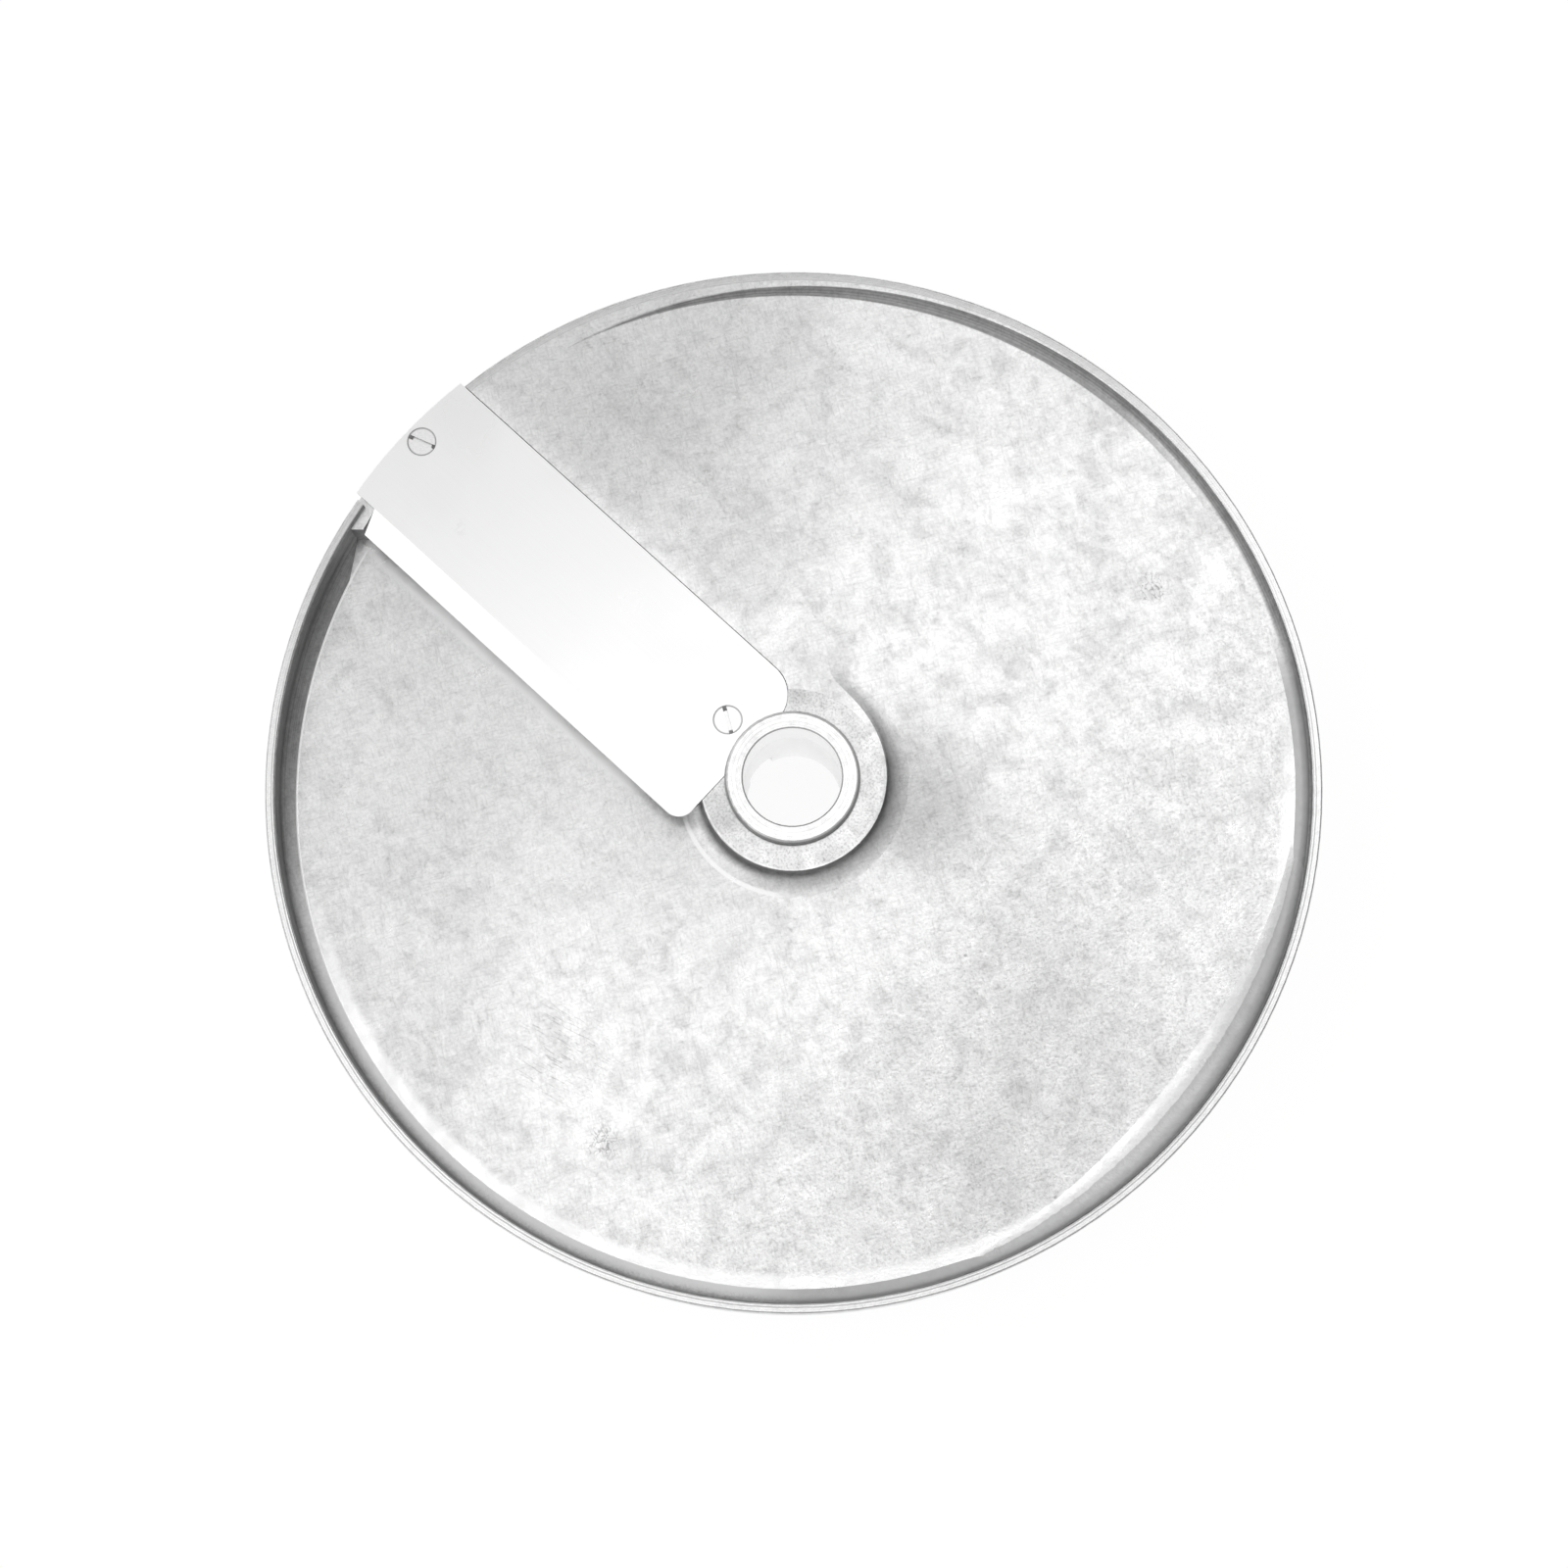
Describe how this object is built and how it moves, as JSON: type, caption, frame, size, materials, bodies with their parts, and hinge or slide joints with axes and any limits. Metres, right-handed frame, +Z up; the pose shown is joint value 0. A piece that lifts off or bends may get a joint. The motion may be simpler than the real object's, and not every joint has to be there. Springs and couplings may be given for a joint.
{
  "type": "slicing disc",
  "caption": "Cast aluminium slicing disc with a spiral feed ramp, a flat bevelled steel blade on slotted screws and a central bore with a drive slot, for a vegetable cutter.",
  "frame": {"origin": "on the bore's axis, level with the flat top of the rim and of the blade", "axes": "+Z up along the bore's axis, on the cutting side; +X along the blade from the hub to the rim; the cutting edge leads towards +Y, so the disc turns from +X to +Y"},
  "size_m": [0.2059, 0.205, 0.0302],
  "materials": {
    "cast_aluminium": "tumbled casting, satin",
    "blade_steel": "satin, ground bevel",
    "screw_steel": "satin"
  },
  "bodies": {
    "root": {"disc_body": "cast_aluminium", "blade": "blade_steel", "blade_screws": "screw_steel"}
  },
  "joints": []
}
